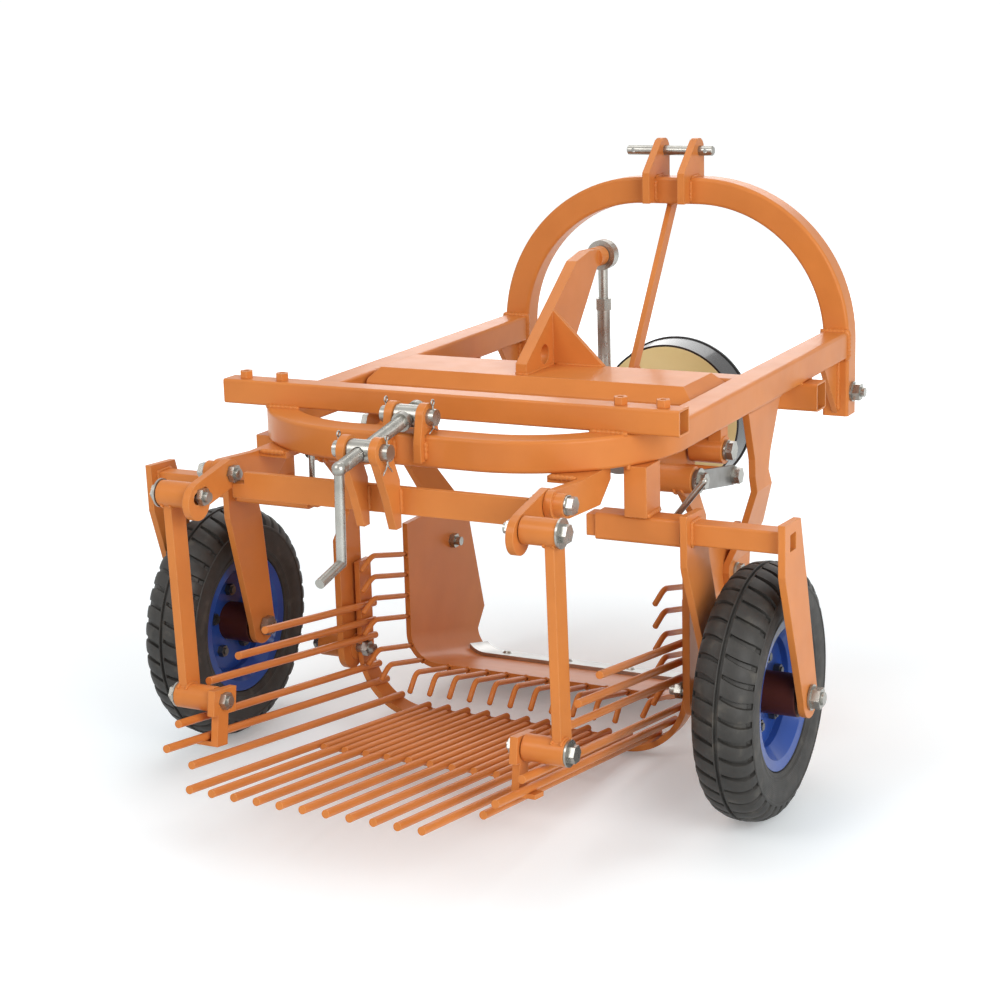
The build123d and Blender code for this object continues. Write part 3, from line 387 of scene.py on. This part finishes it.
def treaded_tyre(side, body, node):
    """A tyre with a middle groove and staggered rows of curved cross grooves."""
    pitch = 2 * pi / TREAD_BLOCKS
    section = [(-x, r, d) for x, r, d in reversed(TYRE_SECTION)] + list(TYRE_SECTION)
    points = []
    for block in range(TREAD_BLOCKS):
        for part, cut, fall in TREAD_ROWS:
            for x, radius, depth in section:
                half = 1 if x > 0 else -1
                outward = min(1.0, abs(x) / TREAD_HALF_WIDTH)
                spot = part
                if abs(part) < GROOVE_EDGE:
                    spot = part * (GROOVE_WIDENING + GROOVE_WIDENING * outward)
                curve = TREAD_LEAN * sin(pi / 2 * outward * half)
                turn = (block + spot + TREAD_STAGGER * half) * pitch + curve
                reach = radius - depth * cut - (fall if depth else 0.0)
                inset = SHOULDER_INSET if abs(x) > SHOULDER_X else 0.0
                inward = depth * cut * inset * half
                y = WHEEL_Y + reach * cos(turn)
                points.append(place(side * WHEEL_X + x - inward, y, WHEEL_Z + reach * sin(turn)))
    across = len(section)
    around = TREAD_BLOCKS * len(TREAD_ROWS)
    faces = []
    for i in range(around):
        for k in range(across):
            a = i * across + k
            b = i * across + (k + 1) % across
            c = (i + 1) % around * across + (k + 1) % across
            d = (i + 1) % around * across + k
            faces.append((a, b, c, d))
    piece = add_piece("treaded_" + node, points, faces, body, "tyre_rubber", TREAD_CREASE)
    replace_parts(piece, node)


def loop_x(x, y0, y1, z0, z1):
    return [(x, y0, z0), (x, y1, z0), (x, y1, z1), (x, y0, z1), (x, y0, z0)]


def loop_y(y, x0, x1, z0, z1):
    return [(x0, y, z0), (x1, y, z0), (x1, y, z1), (x0, y, z1), (x0, y, z0)]


def loop_z(z, x0, x1, y0, y1):
    return [(x0, y0, z), (x1, y0, z), (x1, y1, z), (x0, y1, z), (x0, y0, z)]


def arc_x(x, y, z, radius, start, end):
    count = 28
    turns = [radians(start + (end - start) * i / count) for i in range(count + 1)]
    return [(x, y + radius * cos(a), z + radius * sin(a)) for a in turns]


def frame_welds():
    beads = Strands()
    thick = 4.2
    hoop = 6.0
    post_foot = 4.8
    post_head = 5.2
    for side in SIDES:
        # The rail's end against the hoop's leg.
        beads.bead(loop_y(949, side * 307, side * 355, 562, 610), hoop)
        # The rear crossbar's lower edges on the U.
        beads.bead([(side * 254, -1, 611), (side * 315, -1, 611)], thick)
        beads.bead([(side * 283, 41, 611), (side * 336, 41, 611)], thick)
        # The mid crossbar under the rail.
        for y in (692, 742):
            beads.bead([(side * 308, y, 561), (side * 354, y, 561)], thick)
        # The gusset between the hoop's leg and the rail.
        for x in (325.5, 336.5):
            beads.bead([(side * x, 949, 462), (side * x, 949, 556)], thick)
            beads.bead([(side * x, 872, 560), (side * x, 944, 560)], thick)
        # The top-link lug on the hoop.
        for x in (28, 43):
            beads.bead([(side * x, 949.5, 845), (side * x, 949.5, 884)], thick)
            beads.bead([(side * x, 956, 890), (side * x, 998, 890)], thick)
        # The wheel post on its socket and under the U.
        beads.bead(loop_z(485.6, side * 306.5, side * 341.5, 11.5, 52.5), post_foot)
        beads.bead([(side * 308, 5, 560), (side * 317, 5, 560)], post_head)
        beads.bead([(side * 306, 8, 560), (side * 306, 57, 560)], post_head)
        # The screw lug on the rear of the U.
        for x in (20, 34):
            beads.bead([(side * x, -110.5, 574), (side * x, -110.5, 602)], thick)
        # The share leg under the rail.
        for y in (438, 600):
            beads.bead([(side * 334, y, 561), (side * 344, y, 561)], thick)
        # The adjuster's bracket under the U.
        beads.bead([(side * 228, -91.5, 560), (side * 272, -91.5, 560)], thick)
        # The long edges of the share leg.
        for x in (333.5, 345.5):
            beads.bead([(side * x, 440, 560), (side * x, 598, 560)], thick)
    # The mast brace at the hoop and on the mid crossbar.
    beads.bead(loop_z(839.5, -12, -2, 970, 1000), thick)
    beads.bead(loop_z(561.5, 12, 22, 711, 740), thick)
    beads.finish("frame_weld_beads", "frame", "orange_paint")


def rocker_welds():
    beads = Strands()
    # The lever's foot on the box beam, and the gusset beside it.
    beads.bead(loop_z(622.5, -26, -6, 323, 503))
    beads.bead([(-6, 441, 626), (-6, 441, 712)])
    beads.bead([(-2, 441, 622.5), (86, 441, 622.5)])
    beads.bead([(-2, 429, 622.5), (86, 429, 622.5)])
    # The hangers at their upper and lower bosses.
    for side in SIDES:
        for x in (317.5, 330.5):
            beads.bead(arc_x(side * x, 190, 500, 22.5, 215, 345))
            beads.bead(arc_x(side * x, 250, 128, 22.5, 20, 160))
    beads.finish("rocker_weld_beads", "rocker", "orange_paint")


def link_welds():
    """Beads where each rear link meets its lower and its upper boss."""
    beads = Strands()
    for side in SIDES:
        for x in (310.5, 325.5):
            beads.bead(arc_x(side * x, -263, 205, 20.5, 35, 135))
            beads.bead(arc_x(side * x, -275, 530, 20.5, 225, 320))
    beads.finish("link_weld_beads", "links", "orange_paint")


def sieve_welds():
    """Beads along both sides of each long rod where it lies on the sieve's flat bar."""
    beads = Strands()
    spacing = 38.5
    beside = 5.4
    for i in range(-5, 6):
        for side in SIDES:
            x = i * spacing + side * beside
            beads.bead([(x, 248, 22.5), (x, 282, 21.0)], 2.4)
    beads.finish("sieve_weld_beads", "sieve", "orange_paint")


def wheel_arm_welds():
    """Beads round the sliding tube at the faces of both fork plates."""
    for side, body in ((1, "wheel_arm_right"), (-1, "wheel_arm_left")):
        beads = Strands()
        for x in (397.5, 409.5, 549.5):
            beads.bead(loop_x(side * x, 14.5, 49.5, 444.5, 479.5), 3.6)
        beads.finish(body + "_weld_beads", body, "orange_paint")


def adjuster_welds():
    """Beads where the levers and the arms meet the adjuster's crossbar."""
    beads = Strands()
    thick = 3.6
    for side in SIDES:
        for x in (20, 34):
            beads.bead([(side * x, -190.5, 511), (side * x, -190.5, 548)], thick)
        beads.bead([(side * 261.5, -179.5, 511), (side * 261.5, -179.5, 530)], thick)
    beads.finish("adjuster_weld_beads", "adjuster", "orange_paint")


def split_pins():
    """Bent split pins through the ends of the two trunnions."""
    pin_x = 40
    eye_radius = 4.2
    eye_rise = 22.5
    leg_start = 15
    leg = ((0, 0), (1.5, 3), (5, 8), (10, 12), (13, 16))
    for body, (_, y, z), fall in (("screw_nut", SCREW_NUT, 1.0), ("screw_seat", SCREW_SEAT, 0.5)):
        wires = Strands()
        for x in (-pin_x, pin_x):
            turns = [radians(a) for a in range(0, 361, 30)]
            eye = [(x, y + eye_radius * sin(a), z + eye_rise - eye_radius * cos(a)) for a in turns]
            wires.run(eye, 1.4, step=4.0)
            for way in SIDES:
                line = [(x, y + way * out, z - leg_start - fall * down) for out, down in leg]
                wires.run(line, 1.3, step=4.0)
        wires.finish(body + "_split_pins", body, "zinc_steel")


def clamp_screws():
    """Bent screws, each in a nut on the front of a wheel socket, that hold the sliding wheel arms."""
    screws = Strands()
    face_y = 52.5
    nut_length = 11
    bar_y = 76.0
    bend = ((2, 2.5), (6, 0.5), (11, 0.0), (90, 0.0))
    for x, z, lean, rise in ((354, 463, 0.62, 0.785), (-284, 463, 0.02, 1.0)):
        screws.run([(x, face_y, z), (x, face_y + nut_length, z)], 12.0, step=1.5)
        bar = [(x, face_y, z), (x, bar_y - 7, z)]
        for along, short in bend:
            bar.append((x + lean * along, bar_y - short, z + rise * along))
        screws.run(bar, 5.0, step=4.0, sides=12)
    screws.finish("wheel_clamp_screws", "frame", "zinc_steel")


def finger_roots():
    """Where each share finger starts, with the sideways lean and the drop of its tip."""
    floor_z = 70.0
    wall_x = 273
    corner_x = 218
    corner_z = 125
    corner_radius = 55
    lean = -0.25
    drop = -0.8
    roots = [(i * 38.7, floor_z, 0.0, -1.1) for i in range(-5, 6)]
    for side in SIDES:
        for angle in (24.0, 59.0):
            a = radians(angle)
            x = side * (corner_x + corner_radius * cos(a))
            roots.append((x, corner_z - corner_radius * sin(a), lean * cos(a), drop))
        for z in (157.0, 196.0, 235.0, 273.0):
            roots.append((side * wall_x, z, lean, drop))
    return roots


def share_fingers():
    """Bent rods that reach back from the share's rear edge, each in a bead of weld."""
    rods = Strands()
    rear_y = 361.0
    bend_y = 241.0
    tip_y = 214.0
    climb = 0.238
    bend_reach = 12
    collar_radius = 5.0
    turns = [2 * pi * i / 12 for i in range(13)]
    for x, z, lean, drop in finger_roots():
        start = Vector((x, rear_y + 1, z))
        bend = Vector((x, bend_y, z + climb * (rear_y - bend_y)))
        tip = bend + Vector((lean, -1, drop)) * (bend_y - tip_y)
        before = bend + (start - bend).normalized() * bend_reach
        after = bend + (tip - bend).normalized() * bend_reach
        curve = [before.lerp(bend, t).lerp(bend.lerp(after, t), t) for t in (0, 0.2, 0.4, 0.6, 0.8, 1)]
        shoulder = tip + (bend - tip).normalized() * 2
        rods.run([start, *curve, shoulder, tip], 4.8, step=20.0, sides=12)
        collar = [(x + collar_radius * cos(a), rear_y - 0.5, z + collar_radius * sin(a)) for a in turns]
        rods.run(collar, 2.1, 0.1, 2.0)
    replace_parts(rods.finish("share_finger_rods", "frame", "orange_paint"), "share_fingers")


def screw_thread():
    """The rolled thread of the depth screw, from its bend to its seat."""
    rear = Vector(SCREW_NUT)
    front = Vector(SCREW_SEAT)
    along = (front - rear).normalized()
    side = Vector((1, 0, 0))
    other = along.cross(side)
    begin = -58.0
    end = (front - rear).length - 21.0
    pitch = 2.5
    around = 14
    radius = 9.8
    path = []
    for i in range(int((end - begin) / pitch * around)):
        a = 2 * pi * i / around
        centre = rear + along * (begin + pitch * i / around)
        path.append(centre + (side * cos(a) + other * sin(a)) * radius)
    thread = Strands()
    thread.run(path, 0.9, step=20.0, sides=4)
    thread.finish("screw_thread", "screw", "zinc_steel")


def seen_rays(made):
    rays = made.add("ShaderNodeLightPath").outputs
    seen = made.math("MAXIMUM", rays["Is Camera Ray"], rays["Is Glossy Ray"])
    return made.math("MAXIMUM", seen, rays["Is Transmission Ray"])


def floor():
    """A pale floor whose own glow grows away from the machine, so that it runs out to white."""
    made = Nodes(bpy.data.materials.new("studio_floor"))
    shade = made.ramp(made.noise(1.5), [(0.3, (0.83, 0.885, 0.91)), (0.7, (0.85, 0.905, 0.93))])
    made.feed(shade, "Base Color")
    made.set("Roughness", 0.9)
    reach = made.vector("LENGTH", made.coordinates())["Value"]
    spread = made.range(reach, GLOW_NEAR, GLOW_FAR, GLOW_FROM, GLOW_TO)
    glow = made.add("ShaderNodeEmission", Color=(1.0, 1.0, 1.0, 1.0))
    made.link(made.math("MULTIPLY", seen_rays(made), spread), glow.inputs["Strength"])
    both = made.add("ShaderNodeAddShader")
    made.link(made.shader.outputs["BSDF"], both.inputs[0])
    made.link(glow.outputs["Emission"], both.inputs[1])
    made.link(both.outputs["Shader"], made.tree.nodes["Material Output"].inputs["Surface"])
    bpy.ops.mesh.primitive_plane_add(size=FLOOR_SIZE, location=(0, 0, 0))
    ground = bpy.context.object
    ground.name = "studio_ground"
    ground.data.materials.append(made.owner)


def sky():
    """Even light from all round, behind a backdrop that is seen as white."""
    world = bpy.data.worlds.new("studio_world")
    scene.world = world
    made = Nodes(world)
    back = made.tree.nodes["Background"]
    back.inputs["Strength"].default_value = SKY_LEVEL
    back.inputs["Color"].default_value = (1.0, 0.99, 0.98, 1.0)
    white = made.add("ShaderNodeBackground", Color=(1.0, 1.0, 1.0, 1.0), Strength=1.0)
    mix = made.add("ShaderNodeMixShader")
    made.link(seen_rays(made), mix.inputs["Fac"])
    made.link(back.outputs["Background"], mix.inputs[1])
    made.link(white.outputs["Background"], mix.inputs[2])
    made.link(mix.outputs["Shader"], made.tree.nodes["World Output"].inputs["Surface"])


def lamp(name, spot, size, power):
    data = bpy.data.lights.new(name, "AREA")
    data.energy = power
    data.size = size
    light = bpy.data.objects.new(name, data)
    scene.collection.objects.link(light)
    light.location = spot
    light.rotation_mode = "QUATERNION"
    light.rotation_quaternion = (Vector(LIT_POINT) - Vector(spot)).to_track_quat("-Z", "Y")


def camera():
    data = bpy.data.cameras.new("camera")
    data.sensor_width = SENSOR_WIDTH
    data.lens = LENS
    data.shift_x = SHIFT_X
    data.shift_y = SHIFT_Y
    data.clip_end = VIEW_REACH
    seen = bpy.data.objects.new("camera", data)
    scene.collection.objects.link(seen)
    a = radians(AZIMUTH)
    e = radians(ELEVATION)
    r = radians(ROLL)
    back = Vector((sin(a) * cos(e), -cos(a) * cos(e), sin(e)))
    right = Vector((cos(a), sin(a), 0.0))
    up = back.cross(right)
    turned_right = right * cos(r) + up * sin(r)
    turned_up = up * cos(r) - right * sin(r)
    turn = Matrix((turned_right, turned_up, back)).transposed()
    seen.matrix_world = Matrix.Translation(Vector(CAMERA_PLACE)) @ turn.to_4x4()
    scene.camera = seen


frame_welds()
rocker_welds()
link_welds()
sieve_welds()
wheel_arm_welds()
adjuster_welds()
split_pins()
clamp_screws()
share_fingers()
screw_thread()
treaded_tyre(1, "wheel_right", "tyre_right")
treaded_tyre(-1, "wheel_left", "tyre_left")
floor()
sky()
for lamp_values in LAMPS:
    lamp(*lamp_values)
camera()
scene.view_settings.view_transform = "Standard"
